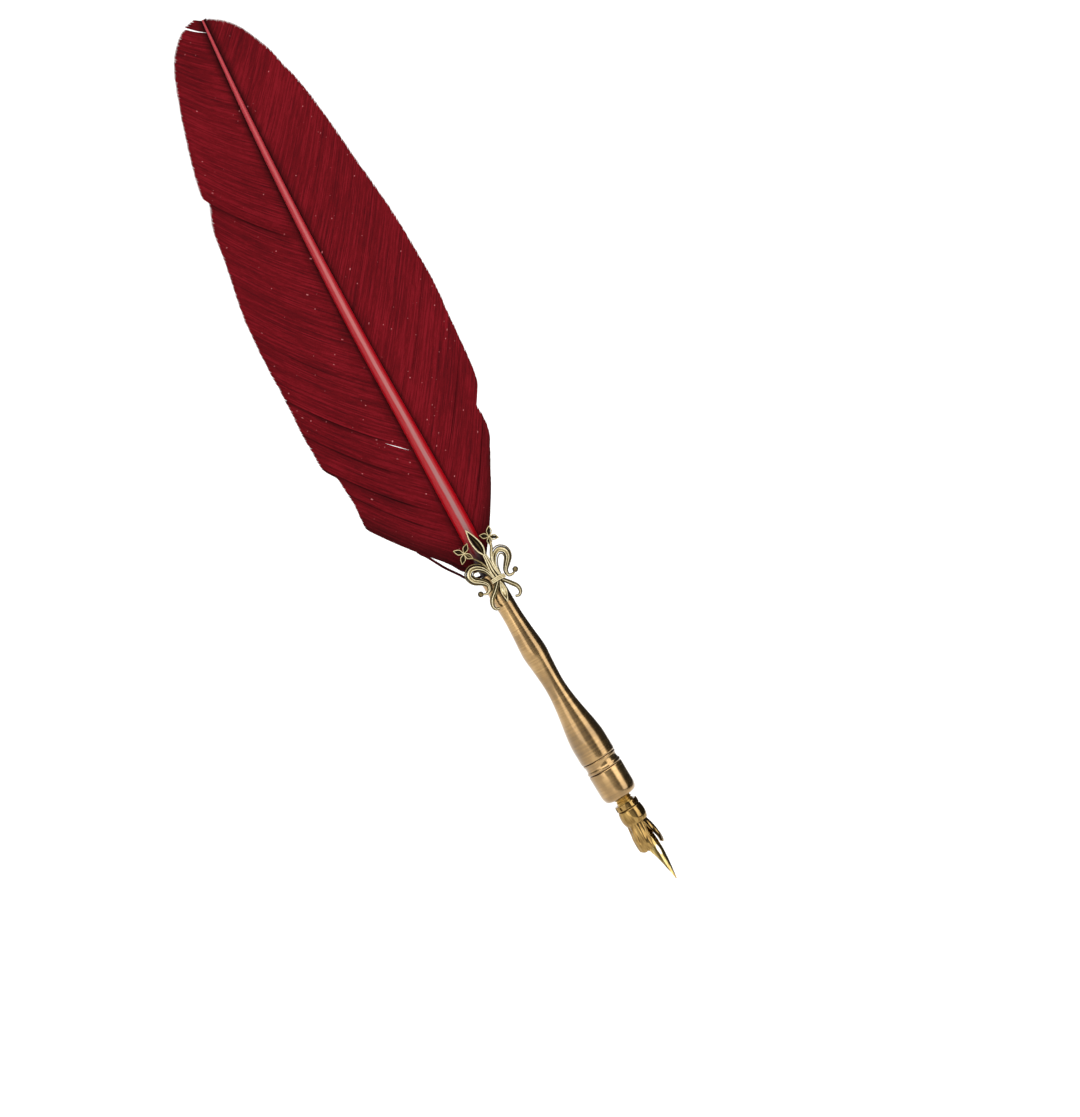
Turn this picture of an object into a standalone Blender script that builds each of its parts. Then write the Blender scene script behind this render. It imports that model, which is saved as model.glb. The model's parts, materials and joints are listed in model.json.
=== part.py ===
# Quill pen: a dyed feather set in a turned bronze barrel, with a lily ornament at the mouth,
# a screwed section, and a screwed nib unit that carries a steel dip nib in a petal cup.
#
# Lengths are in millimetres until the last step, and are measured along the pen's axis from
# the nib's point. Each piece is modelled with the axis upright and its front facing -Y. Two
# empties then turn the front by `roll` about the axis and tip the axis by `lean` towards -X,
# about the place where a pen rest holds the section. That place is the model's origin.

import math

import bmesh
import bpy
from mathutils import Vector

mm = 0.001

# Stance
lean = math.radians(32.3)
roll = math.radians(20)
restHeight = 32.4

# Barrel and what is inside it
barrelFoot = 39.85
barrelMouth = 99.2
barrelRadii = [(39.85, 5.2), (43.4, 5.22), (46.2, 5.15), (50.3, 4.6), (53.0, 4.1), (58.5, 3.25),
               (63.3, 2.9), (69.5, 3.23), (74.2, 3.6), (80.5, 3.1), (86.0, 2.78), (92.0, 2.85),
               (99.2, 2.95)]
socketRadius = 3.6
socketTop = 51.4
quillBore = 2.35
quillSeat = 84.0
insertRadius = 3.5
threadPlay = 0.14

# Screw between barrel and section
studRadius = 2.6
studPitch = 0.8
studFoot = 33.7
studThreadFoot = 40.7
studTop = 48.7

# Ring and section
ringFoot = 36.5
ringTop = 39.75
sectionRadius = 5.16
sectionFoot = 27.2
sectionTop = 36.35

# Nib unit
neckRadius = 2.47
neckPitch = 0.75
neckFoot = 22.2
neckThreadFoot = 25.3
neckTop = 31.8
neckPlay = 0.13
sleeveBore = 1.82
collarFoot = 23.65
collarTop = 25.25
collarRadius = 3.43
windowCount = 10
windowDepth = 0.42
domeFoot = 18.9
domeTop = 23.5
cupTop = 20.1
cupWall = 0.34
petalCount = 3
petalGap = math.radians(21)
nibTurn = math.radians(30)
nibTop = 30.0
nibPlate = 0.2
ventHeight = 9.4
ventRadius = 0.5
ventStretch = 3.2
slitWidth = 0.09

# Feather
quillTop = 269.6
quillLine = [(84, 0), (97, 0), (113, 1.2), (140, 2.35), (178, 3.9), (216, 6.5), (244, 9.0),
             (269.6, 11.8)]
quillRadii = [(84, 2.0), (98, 2.0), (108, 2.3), (120, 2.3), (150, 1.87), (182, 1.6), (210, 1.15),
              (233, 0.9), (253, 0.6), (265, 0.4), (269.6, 0.25)]
leftEdge = [(121, 20.2), (124, 22.0), (129, 23.6), (141, 24.0), (150, 25.9), (170, 26.0),
            (188, 26.2), (203, 24.8), (220, 22.2), (234, 20.3), (243, 18.4), (254, 15.4),
            (262, 12.2), (267, 8.8), (270.2, 4.6), (271.2, 1.4)]
rightEdge = [(111, 6.3), (122.5, 13.0), (133, 18.2), (144, 20.8), (157, 23.6), (170, 24.6),
             (184, 24.2), (204, 22.2), (226, 19.7), (243, 16.4), (254, 12.8), (260, 10.2),
             (265, 6.8), (268, 3.8), (269.8, 1.4)]
leftLay = [(121, 45), (150, 43), (271, 47)]
rightLay = [(111, 30), (133, 34), (157, 40), (220, 43), (271, 50)]
camber = 2.2
vaneThickness = 0.4

# Ornament
lilyFace = 3.95
lilyWrap = 0.025
ballRadius = 0.8
skinGrain = 0.17


def through(points, at):
    """Height at one place of the smooth curve through (place, height) points."""
    places = [p for p, _ in points]
    heights = [h for _, h in points]
    last = len(points) - 1
    at = min(max(at, places[0]), places[-1])
    i = max(k for k in range(last) if places[k] <= at)

    def slope(k):
        low, high = max(k - 1, 0), min(k + 1, last)
        return (heights[high] - heights[low]) / (places[high] - places[low])

    span = places[i + 1] - places[i]
    u = (at - places[i]) / span
    return (heights[i] * (1 + 2 * u) * (1 - u) ** 2 + heights[i + 1] * u * u * (3 - 2 * u)
            + span * slope(i) * u * (1 - u) ** 2 - span * slope(i + 1) * u * u * (1 - u))


def steps(first, last, count):
    return [first + (last - first) * i / (count - 1) for i in range(count)]


def around(radius, angle, height):
    """Point on a circle about the axis; angle 0 faces the front and grows to the right."""
    return Vector((radius * math.sin(angle), -radius * math.cos(angle), height))


def finish(name, colour, roughness, metallic):
    material = bpy.data.materials.new(name)
    material.use_nodes = True
    shader = material.node_tree.nodes["Principled BSDF"]
    shader.inputs["Base Color"].default_value = (*colour, 1)
    shader.inputs["Roughness"].default_value = roughness
    shader.inputs["Metallic"].default_value = metallic
    material.diffuse_color = (*colour, 1)
    return material


def place(name, bm, seat, material, sharp=35):
    """Make an object from a mesh in pen millimetres, with its origin on the axis at `seat`."""
    bmesh.ops.translate(bm, verts=bm.verts, vec=(0, 0, -seat))
    bmesh.ops.scale(bm, verts=bm.verts, vec=(mm, mm, mm))
    mesh = bpy.data.meshes.new(name)
    bm.to_mesh(mesh)
    bm.free()
    mesh.materials.append(material)
    mesh.shade_smooth()
    mesh.set_sharp_from_angle(angle=math.radians(sharp))
    obj = bpy.data.objects.new(name, mesh)
    bpy.context.collection.objects.link(obj)
    obj.parent = penRoll
    obj.location = (0, 0, (seat - restHeight) * mm)
    return obj


def turned(name, outline, seat, material, sides=32, closed=True):
    """Spin a (radius, height) outline about the axis; an open one starts and ends on it."""
    bm = bmesh.new()
    points = [bm.verts.new((radius, 0, height)) for radius, height in outline]
    ends = points[1:] + points[:1] if closed else points[1:]
    lines = [bm.edges.new(pair) for pair in zip(points, ends)]
    bmesh.ops.spin(bm, geom=points + lines, cent=(0, 0, 0), axis=(0, 0, 1),
                   angle=math.tau, steps=sides, use_merge=True)
    bmesh.ops.remove_doubles(bm, verts=bm.verts, dist=1e-4)
    bmesh.ops.recalc_face_normals(bm, faces=bm.faces)
    return place(name, bm, seat, material)


def threaded(name, heights, threadFoot, threadTop, crest, depth, pitch, bore, material, sides=16):
    """Rod or sleeve whose wall rises and falls along a right-hand helix between two heights."""
    bm = bmesh.new()
    rings = []
    for height in heights:
        ring = []
        for k in range(sides):
            angle = math.tau * k / sides
            phase = (height / pitch - angle / math.tau) % 1
            radius = crest - depth
            if threadFoot <= height <= threadTop:
                fade = min(1, (height - threadFoot) / pitch, (threadTop - height) / pitch)
                radius += depth * fade * (1 - abs(2 * phase - 1))
            else:
                radius = crest - 0.05
            ring.append(bm.verts.new(around(radius, angle, height)))
        rings.append(ring)
    if bore:
        for height in (heights[-1], heights[0]):
            rings.append([bm.verts.new(around(bore, math.tau * k / sides, height))
                          for k in range(sides)])
        rings.append(rings[0])
    for low, high in zip(rings, rings[1:]):
        for k in range(sides):
            m = (k + 1) % sides
            bm.faces.new((low[k], low[m], high[m], high[k]))
    if not bore:
        bm.faces.new(rings[0])
        bm.faces.new(rings[-1])
    bmesh.ops.recalc_face_normals(bm, faces=bm.faces)
    return place(name, bm, heights[0], material)


def sheet(name, rows, seat, thickness, material, wrap=False):
    """Grid of points made into a plate of even thickness, half to each side of the grid."""
    bm = bmesh.new()
    grid = [[bm.verts.new(point) for point in row] for row in rows]
    for low, high in zip(grid, grid[1:]):
        count = len(low) if wrap else len(low) - 1
        for k in range(count):
            m = (k + 1) % len(low)
            bm.faces.new((low[k], low[m], high[m], high[k]))
    bmesh.ops.recalc_face_normals(bm, faces=bm.faces)
    obj = place(name, bm, seat, material, sharp=60)
    plate = obj.modifiers.new("plate", "SOLIDIFY")
    plate.thickness = thickness * mm
    plate.offset = 0
    return obj


def cut(obj, cutter):
    cutter.hide_render = True
    cutter.display_type = "WIRE"
    trim = obj.modifiers.new(cutter.name, "BOOLEAN")
    trim.operation = "DIFFERENCE"
    trim.solver = "EXACT"
    trim.object = cutter


# --- handle -----------------------------------------------------------------------------------

def makeBarrel():
    """Turned handle, solid between the stud's socket below and the quill's bore above."""
    wall = [(through(barrelRadii, height), height)
            for height in steps(barrelFoot, barrelMouth, 24)]
    footRadius = wall[0][0]
    wall[0] = (footRadius - 0.25, barrelFoot)
    wall.insert(1, (footRadius, barrelFoot + 0.3))
    socket = [(0, socketTop), (socketRadius, socketTop), (socketRadius, barrelFoot)]
    bore = [(quillBore, barrelMouth), (quillBore, quillSeat), (0, quillSeat)]
    return turned("barrel", socket + wall + bore, barrelFoot, bronze, closed=False)


def makeBarrelInsert():
    """Threaded sleeve pressed into the barrel's socket."""
    foot, top, bore = barrelFoot + 0.45, socketTop - 0.4, studRadius + threadPlay
    return turned("barrel_insert", [(bore, top), (insertRadius, top), (insertRadius, foot + 0.3),
                                    (insertRadius - 0.25, foot), (bore + 0.25, foot),
                                    (bore, foot + 0.3)], foot, brass)


def makeTrimRing():
    """Loose ring round the stud: a bead below and a cove above."""
    bore = studRadius + threadPlay
    return turned("trim_ring", [
        (bore, ringFoot), (5.0, ringFoot), (5.12, ringFoot + 0.15), (5.16, ringFoot + 0.5),
        (5.1, ringFoot + 0.85), (4.92, ringFoot + 1.0), (4.85, ringFoot + 1.25),
        (4.84, ringFoot + 1.8), (4.92, ringFoot + 2.4), (5.05, ringTop - 0.2),
        (5.0, ringTop), (bore, ringTop)], ringFoot, bronze)


def makeSection():
    """Grip with a blind bore for the nib unit below and a socket for the stud above."""
    bore, socket = neckRadius + neckPlay, studRadius + 0.08
    boreTop, socketFoot = studFoot - 1.1, studFoot - 0.1
    return turned("section", [
        (0, boreTop), (bore, boreTop), (bore, sectionFoot),
        (3.3, sectionFoot), (4.3, sectionFoot + 0.45), (4.85, sectionFoot + 1.15),
        (5.08, sectionFoot + 2.1), (sectionRadius, sectionFoot + 3.2),
        (sectionRadius, sectionTop - 0.35), (sectionRadius - 0.18, sectionTop - 0.08),
        (sectionRadius - 0.35, sectionTop), (socket, sectionTop),
        (socket, socketFoot), (0, socketFoot)], sectionFoot, bronze, closed=False)


def makeSectionStud():
    """Solid stud set in the section: plain through the ring, screwed above it."""
    plain = [studFoot, studThreadFoot - 0.4]
    screwed = steps(studThreadFoot, studTop, 31)
    return threaded("section_stud", plain + screwed, studThreadFoot, studTop,
                    studRadius, 0.36, studPitch, 0, brass)


# --- nib unit ---------------------------------------------------------------------------------

def makeNeck():
    """Threaded sleeve that the nib and its peg are pushed into."""
    plain = [neckFoot, neckThreadFoot - 0.3]
    screwed = steps(neckThreadFoot, neckTop, 27)
    return threaded("nib_neck", plain + screwed, neckThreadFoot, neckTop,
                    neckRadius, 0.34, neckPitch, sleeveBore, brass)


def makeCollar():
    """Loose ring with a row of square windows pressed into its rim."""
    foot, top, bore, rim = collarFoot, collarTop, neckRadius + neckPlay, collarRadius
    obj = turned("nib_collar", [(bore, foot), (rim - 0.15, foot), (rim, foot + 0.15),
                                (rim, top - 0.15), (rim - 0.15, top), (bore, top)],
                 foot, bronze, sides=2 * windowCount)
    bm = bmesh.new()
    bm.from_mesh(obj.data)
    band = [f for f in bm.faces if abs(f.normal.z) < 0.1
            and math.hypot(*f.calc_center_median().xy) > (rim - 0.1) * mm]
    band.sort(key=lambda f: math.atan2(*f.calc_center_median().xy))
    for face in band[::2]:
        bmesh.ops.inset_individual(bm, faces=[face], thickness=0.15 * mm, depth=0)
        bmesh.ops.translate(bm, verts=face.verts, vec=-face.normal * windowDepth * mm)
    bm.to_mesh(obj.data)
    bm.free()
    return obj


def makeDome():
    """Bell with a stepped bore: the neck enters from above and the petal cup from below."""
    foot, top, bore, cupSeat, neckSeat = domeFoot, domeTop, neckRadius + 0.08, 20.25, 22.08
    return turned("nib_dome", [
        (bore, top), (3.3, top), (3.5, top - 0.25), (3.62, top - 1.0),
        (3.71, top - 2.0), (3.66, top - 2.9), (3.5, top - 3.8), (3.3, foot),
        (3.02, foot), (3.02, cupSeat), (1.95, cupSeat), (1.95, neckSeat),
        (bore, neckSeat)], foot, bronze)


def petalTip(angle):
    """Height of the cup's rim: each petal ends round, and pointed gaps part the petals."""
    sector = math.tau / petalCount
    offset = (angle - nibTurn + sector / 2) % sector - sector / 2
    if abs(offset) < petalGap:
        return 11.3 + 6.0 * (1 - abs(offset) / petalGap) ** 0.8
    return 10.7 + 0.6 * ((sector / 2 - abs(offset)) / (sector / 2 - petalGap)) ** 2


def makeCup():
    """Three petals that flare from a plain round stem held in the dome."""
    flare = [(10.7, 3.5), (11.6, 3.72), (13.0, 3.82), (15.0, 3.55), (17.0, 3.15), (18.4, 2.85),
             (20.1, 2.8)]
    columns = 42
    rows = []
    for share in steps(0, 1, 8):
        row = []
        for k in range(columns):
            angle = nibTurn + math.tau * k / columns
            height = cupTop + (petalTip(angle) - cupTop) * share
            row.append(around(through(flare, height), angle, height))
        rows.append(row)
    return sheet("nib_cup", rows, cupTop, cupWall, bronze, wrap=True)


def makeNib():
    """Steel nib: a curved plate round the axis, pointed below, with a slit and a long vent."""
    halfWidth = [(0, 0.16), (2.2, 0.56), (4.9, 1.1), (7.7, 1.6), (9.6, 2.2), (11.5, 2.7),
                 (15.0, 2.6), (19.0, 2.3), (30.0, 2.3)]
    radii = [(0, 2.45), (8.0, 2.4), (13.0, 2.25), (16.5, 1.95), (19.3, 1.66), (30.0, 1.66)]
    rows = []
    for height in steps(0, 12, 13) + steps(13.4, 19.4, 5) + [nibTop]:
        radius = through(radii, height)
        spread = through(halfWidth, height) / radius
        rows.append([around(radius, nibTurn + spread * side, height) for side in steps(-1, 1, 9)])
    nib = sheet("nib", rows, nibTop, nibPlate, steel)

    bpy.ops.mesh.primitive_cylinder_add(vertices=12, radius=ventRadius * mm, depth=3 * mm)
    vent = bpy.context.object
    vent.name = "vent_cutter"
    bpy.ops.mesh.primitive_cube_add(size=1)
    slit = bpy.context.object
    slit.name = "slit_cutter"
    for vertex in slit.data.vertices:
        vertex.co.x *= slitWidth * mm
        vertex.co.y *= 3 * mm
        vertex.co.z *= (ventHeight + 1) * mm
    for cutter, height in ((vent, ventHeight), (slit, (ventHeight - 1) / 2)):
        cutter.parent = penRoll
        cutter.location = around(2.4 * mm, nibTurn, (height - restHeight) * mm)
        cutter.rotation_euler = (0, 0, nibTurn)
        cut(nib, cutter)
    for vertex in vent.data.vertices:
        vertex.co = Vector((vertex.co.x, vertex.co.z, vertex.co.y * ventStretch))
    vent.data.flip_normals()
    return nib


def makePeg():
    """Plastic peg that wedges the nib in the neck and leads the ink down behind it."""
    return turned("nib_peg", [(0, 13.2), (0.7, 13.3), (1.2, 13.8), (1.38, 14.6), (1.4, 30.6),
                              (0, 30.6)], 13.2, plastic, sides=16, closed=False)


# --- feather and ornament ---------------------------------------------------------------------

def makeQuill():
    """Shaft of the feather: a tapered, gently bowed curve with round caps."""
    data = bpy.data.curves.new("feather_shaft", "CURVE")
    data.dimensions = "3D"
    data.bevel_depth = mm
    data.bevel_resolution = 2
    data.use_fill_caps = True
    heights = steps(quillSeat + 0.3, quillTop, 44)
    spline = data.splines.new("POLY")
    spline.points.add(len(heights) - 1)
    for point, height in zip(spline.points, heights):
        point.co = (through(quillLine, height) * mm, 0, (height - quillSeat) * mm, 1)
        point.radius = through(quillRadii, height)
    data.materials.append(horn)
    obj = bpy.data.objects.new("feather_shaft", data)
    bpy.context.collection.objects.link(obj)
    obj.parent = penRoll
    obj.location = (0, 0, (quillSeat - restHeight) * mm)
    return obj


def makeGlue():
    foot, top, inner, outer = quillSeat + 2, barrelMouth - 0.2, 2.13, quillBore - 0.05
    return turned("quill_glue", [(inner, foot), (outer, foot), (outer, top), (inner, top)],
                  foot, resin, sides=24)


def makeVane(name, side, edge, lay):
    """Web of barbs on one side. Each row is one barb, from the shaft to the outer edge."""
    rows = []
    for tip in steps(edge[0][0], edge[-1][0], 34):
        reach = through(edge, tip)
        root = tip - reach / math.tan(math.radians(through(lay, tip)))
        row = []
        for share in steps(0, 1, 8):
            height = root + (tip - root) * share ** 1.12
            start = through(quillRadii, height) + 0.12
            across = start + (reach - start) * share
            sag = camber * (across / 26) ** 2
            row.append(Vector((through(quillLine, height) + side * across, -sag, height)))
        rows.append(row)
    return sheet(name, rows, restHeight, vaneThickness, barbs)


# The ornament's strands: points (right of the axis, height) and the strand's radius at its
# first point, in its middle and at its last point.
strands = {
    "leaf left rim": ([(2.2, 104.3), (1.0, 106.0), (0.7, 109.0), (1.2, 112.2)], 0.45, 0.4, 0.3),
    "leaf right rim": ([(2.2, 104.3), (2.9, 106.2), (2.4, 109.2), (1.2, 112.2)], 0.45, 0.4, 0.3),
    "leaf blade": ([(2.1, 104.6), (1.8, 108.0), (1.3, 111.4)], 0.5, 0.55, 0.3),
    "stem": ([(2.2, 104.4), (2.0, 102.0), (1.8, 99.8), (2.1, 97.0)], 0.6, 0.75, 1.0),
    "left star stem": ([(-2.4, 107.6), (-1.0, 105.1), (0.3, 103.0), (0.9, 100.8), (1.2, 98.0)],
                       0.4, 0.4, 0.5),
    "right star stem": ([(5.7, 108.0), (5.0, 105.8), (3.6, 103.4), (2.9, 100.8), (2.8, 98.0)],
                        0.4, 0.4, 0.5),
    "left plume": ([(1.0, 97.6), (0.3, 100.6), (-1.2, 102.4), (-3.2, 103.0), (-4.7, 101.6),
                    (-4.2, 99.6), (-2.4, 98.3), (-1.2, 96.9), (-1.6, 95.4), (-3.0, 94.9),
                    (-4.1, 95.7)], 0.5, 0.9, 0.45),
    "right plume": ([(3.0, 97.6), (3.3, 100.6), (4.4, 103.0), (6.2, 104.0), (7.7, 102.9),
                     (7.6, 101.0), (6.2, 99.4), (4.9, 97.8), (4.9, 96.2), (6.1, 95.9),
                     (7.2, 96.6)], 0.5, 0.9, 0.45),
    "left curl": ([(1.5, 96.2), (-0.6, 94.4), (-2.4, 92.8), (-3.1, 91.2), (-2.9, 90.0),
                   (-1.9, 89.8)], 0.6, 0.6, 0.4),
    "right curl": ([(2.8, 96.0), (4.5, 94.0), (5.5, 92.4), (5.5, 90.8), (4.6, 90.0), (3.7, 90.3)],
                   0.6, 0.6, 0.4),
    "pendant": ([(2.1, 96.4), (1.5, 93.4), (0.9, 90.2)], 0.8, 1.1, 0.5),
    "band": ([(-0.1, 97.2), (2.0, 97.1), (4.1, 96.8)], 0.55, 0.6, 0.55),
}
stars = [((-2.6, 107.7), [(-0.5, 109.6), (-4.6, 109.7), (-4.5, 105.5), (-1.2, 105.4)]),
         ((5.8, 108.2), [(7.2, 110.6), (3.7, 109.7), (7.8, 106.7), (4.9, 106.2)])]
balls = [(-4.3, 95.7), (7.3, 96.6)]


def faceOf(right, height):
    """Point on the ornament's gently wrapped face, in front of the barrel."""
    return Vector((right, lilyWrap * right ** 2 - lilyFace, height))


def strandMesh(points, radii):
    """Tapered round strand with closed ends through ornament points."""
    data = bpy.data.curves.new("strand", "CURVE")
    data.dimensions = "3D"
    data.bevel_depth = 1
    data.bevel_resolution = 2
    data.use_fill_caps = True
    spline = data.splines.new("NURBS")
    spline.points.add(len(points) - 1)
    spline.use_endpoint_u = True
    spline.order_u = 3
    spline.resolution_u = 4
    middle = (len(points) - 1) / 2
    for i, (point, position) in enumerate(zip(spline.points, points)):
        point.co = (*position, 1)
        far = abs(i - middle) / middle
        point.radius = radii[1] + ((radii[0] if i < middle else radii[2]) - radii[1]) * far
    obj = bpy.data.objects.new("strand", data)
    mesh = bpy.data.meshes.new_from_object(obj)
    bpy.data.objects.remove(obj)
    bpy.data.curves.remove(data)
    return mesh


def makeOrnament():
    """Cast lily: overlapping strands and balls fused into one skin."""
    bm = bmesh.new()
    shapes = [([faceOf(*p) for p in points], radii) for points, *radii in strands.values()]
    for centre, tips in stars:
        shapes += [([faceOf(*centre), faceOf(*(Vector(centre) * 0.5 + Vector(tip) * 0.5)),
                     faceOf(*tip)], (0.45, 0.6, 0.25)) for tip in tips]
    for points, radii in shapes:
        mesh = strandMesh(points, radii)
        bm.from_mesh(mesh)
        bpy.data.meshes.remove(mesh)
    for right, height in balls:
        made = bmesh.ops.create_icosphere(bm, subdivisions=2, radius=ballRadius)
        bmesh.ops.translate(bm, verts=made["verts"], vec=faceOf(right, height))
    obj = place("lily_ornament", bm, 97.0, bronze)
    skin = obj.modifiers.new("skin", "REMESH")
    skin.mode = "VOXEL"
    skin.voxel_size = skinGrain * mm
    thin = obj.modifiers.new("thin", "DECIMATE")
    thin.ratio = 0.09
    return obj


for old in list(bpy.data.objects):
    bpy.data.objects.remove(old)

bronze = finish("antique bronze", (0.42, 0.27, 0.13), 0.32, 1)
brass = finish("turned brass", (0.62, 0.46, 0.2), 0.3, 1)
steel = finish("nib steel", (0.6, 0.52, 0.36), 0.22, 1)
plastic = finish("black plastic", (0.02, 0.02, 0.02), 0.4, 0)
horn = finish("dyed quill", (0.62, 0.1, 0.1), 0.35, 0)
barbs = finish("dyed barbs", (0.2, 0.01, 0.02), 0.7, 0)
resin = finish("clear glue", (0.7, 0.62, 0.45), 0.3, 0)

penLean = bpy.data.objects.new("pen_lean", None)
penLean.rotation_euler = (0, -lean, 0)
penRoll = bpy.data.objects.new("pen_roll", None)
penRoll.rotation_euler = (0, 0, roll)
penRoll.parent = penLean
for empty in (penLean, penRoll):
    bpy.context.collection.objects.link(empty)

makeBarrel()
makeBarrelInsert()
makeTrimRing()
makeSection()
makeSectionStud()
makeNeck()
makeCollar()
makeDome()
makeCup()
makeNib()
makePeg()
makeQuill()
makeGlue()
makeVane("vane_left", -1, leftEdge, leftLay)
makeVane("vane_right", 1, rightEdge, rightLay)
makeOrnament()
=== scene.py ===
import json
import math
import random

import bpy
import numpy as np
from mathutils import Matrix, Vector


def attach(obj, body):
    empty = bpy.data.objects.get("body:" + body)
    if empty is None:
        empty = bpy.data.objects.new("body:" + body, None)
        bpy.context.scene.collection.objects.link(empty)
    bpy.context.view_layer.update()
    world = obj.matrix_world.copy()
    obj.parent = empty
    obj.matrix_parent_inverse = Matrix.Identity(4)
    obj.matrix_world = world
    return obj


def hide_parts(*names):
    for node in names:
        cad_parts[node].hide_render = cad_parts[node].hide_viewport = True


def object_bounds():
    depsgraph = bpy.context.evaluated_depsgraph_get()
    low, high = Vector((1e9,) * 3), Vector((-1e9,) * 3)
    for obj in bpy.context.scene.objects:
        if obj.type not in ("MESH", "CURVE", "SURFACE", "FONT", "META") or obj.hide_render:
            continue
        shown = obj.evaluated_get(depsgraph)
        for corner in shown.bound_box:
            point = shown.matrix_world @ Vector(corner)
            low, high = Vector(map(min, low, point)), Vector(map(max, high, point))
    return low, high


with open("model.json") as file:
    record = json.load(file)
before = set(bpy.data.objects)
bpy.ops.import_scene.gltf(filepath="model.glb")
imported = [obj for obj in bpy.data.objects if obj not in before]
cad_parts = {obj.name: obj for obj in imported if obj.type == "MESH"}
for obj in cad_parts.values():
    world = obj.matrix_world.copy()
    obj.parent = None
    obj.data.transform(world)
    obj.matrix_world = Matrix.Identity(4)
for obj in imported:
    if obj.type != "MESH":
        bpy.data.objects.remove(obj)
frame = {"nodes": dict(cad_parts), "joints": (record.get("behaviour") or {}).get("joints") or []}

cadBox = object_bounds()
bpy.ops.object.select_all(action="DESELECT")
random.seed(7)
print("frame loaded")

# The pen is modelled upright in millimetres, its point at 0 and its front towards -Y. The
# matrix tips it into the frame's pose, about the place where a rest holds its section.
pose = {"restHeight": 32.4, "turn": 20.0}
down = Vector(next(j["axis"] for j in frame["joints"] if j["name"] == "nib_pull"))
leanAngle = math.atan2(down.x, -down.z)
penFrame = (Matrix.Rotation(-leanAngle, 4, "Y") @ Matrix.Rotation(math.radians(pose["turn"]), 4, "Z")
            @ Matrix.Translation((0, 0, -pose["restHeight"] / 1000)) @ Matrix.Scale(0.001, 4))


def through(points, at):
    # smooth curve through (place, value) points, read at one place
    places = [p for p, _ in points]
    values = [v for _, v in points]
    last = len(points) - 1
    at = min(max(at, places[0]), places[-1])
    i = max(k for k in range(last) if places[k] <= at)
    slopes = []
    for k in (i, i + 1):
        low, high = max(k - 1, 0), min(k + 1, last)
        slopes.append((values[high] - values[low]) / (places[high] - places[low]))
    span = places[i + 1] - places[i]
    u = (at - places[i]) / span
    return (values[i] * (1 + 2 * u) * (1 - u) ** 2 + values[i + 1] * u * u * (3 - 2 * u)
            + span * slopes[0] * u * (1 - u) ** 2 - span * slopes[1] * u * u * (1 - u))


def smoothPath(points, count):
    # evenly read points of the smooth curve through a list of points in space
    gaps = np.linalg.norm(np.diff(np.array(points), axis=0), axis=1)
    marks = np.concatenate([[0], np.cumsum(gaps)])
    axes = [[(m, p[a]) for m, p in zip(marks, points)] for a in range(len(points[0]))]
    return [[through(axis, m) for axis in axes] for m in np.linspace(0, marks[-1], count)]


def hexColor(text):
    values = [int(text[i:i + 2], 16) / 255 for i in (1, 3, 5)]
    return tuple(v / 12.92 if v < 0.04045 else ((v + 0.055) / 1.055) ** 2.4 for v in values) + (1,)


def addNode(tree, kind, settings=None, inputs=None):
    # a node with its settings, and its sockets set to values or linked to other sockets
    node = tree.nodes.new(kind)
    for key, value in (settings or {}).items():
        setattr(node, key, value)
    for key, value in (inputs or {}).items():
        if isinstance(value, bpy.types.NodeSocket):
            tree.links.new(value, node.inputs[key])
        else:
            node.inputs[key].default_value = value
    return node


def newMaterial(name):
    material = bpy.data.materials.new(name)
    material.use_nodes = True
    return material, material.node_tree, material.node_tree.nodes["Principled BSDF"]


def colorRamp(tree, factor, stops):
    ramp = addNode(tree, "ShaderNodeValToRGB", inputs={"Fac": factor})
    while len(ramp.color_ramp.elements) < len(stops):
        ramp.color_ramp.elements.new(0.5)
    for element, (place, color) in zip(ramp.color_ramp.elements, stops):
        element.position = place
        element.color = hexColor(color) if isinstance(color, str) else (color, color, color, 1)
    return ramp.outputs["Color"]


def alongPen(tree, scale):
    # object coordinates turned so that Z runs up the pen, in millimetres times scale
    place = addNode(tree, "ShaderNodeTexCoord")
    turned = addNode(tree, "ShaderNodeMapping", inputs={
        "Vector": place.outputs["Object"], "Rotation": (0, leanAngle, 0)})
    sized = addNode(tree, "ShaderNodeVectorMath", {"operation": "MULTIPLY"}, {0: turned.outputs[0]})
    sized.inputs[1].default_value = [1000 * s for s in scale]
    return sized.outputs[0]


def bronzeMaterial():
    # antique bronze plate under clear lacquer, lathe brushed round the pen: warm brown, with
    # whiter glints from the lacquer. Real brush lines are about 0.05 mm apart; they are drawn
    # coarser, as rings about 0.3 mm apart, so that they show
    material, tree, shader = newMaterial("brushed antique bronze")
    rings = addNode(tree, "ShaderNodeTexNoise", inputs={
        "Vector": alongPen(tree, (0.1, 0.1, 3.0)), "Scale": 1.0, "Detail": 6.0, "Roughness": 0.7})
    cloud = addNode(tree, "ShaderNodeTexNoise", inputs={
        "Vector": alongPen(tree, (0.16, 0.16, 0.09)), "Scale": 1.0, "Detail": 3.0})
    mixed = addNode(tree, "ShaderNodeMath", {"operation": "MULTIPLY_ADD"}, {
        0: rings.outputs["Fac"], 1: 0.6, 2: cloud.outputs["Fac"]})
    tint = colorRamp(tree, mixed.outputs[0], [(0.55, "#69502a"), (0.8, "#8c6c3a"), (1.0, "#b28f58")])
    tree.links.new(tint, shader.inputs["Base Color"])
    rough = addNode(tree, "ShaderNodeMapRange", inputs={
        "Value": rings.outputs["Fac"], "From Min": 0.3, "From Max": 0.7, "To Min": 0.19, "To Max": 0.28})
    tree.links.new(rough.outputs[0], shader.inputs["Roughness"])
    shader.inputs["Metallic"].default_value = 1.0
    shader.inputs["Coat Weight"].default_value = 1.0
    shader.inputs["Coat IOR"].default_value = 1.55
    shader.inputs["Coat Roughness"].default_value = 0.18
    bump = addNode(tree, "ShaderNodeBump", inputs={
        "Height": rings.outputs["Fac"], "Strength": 0.05, "Distance": 0.00005})
    tree.links.new(bump.outputs[0], shader.inputs["Normal"])
    return material


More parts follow.
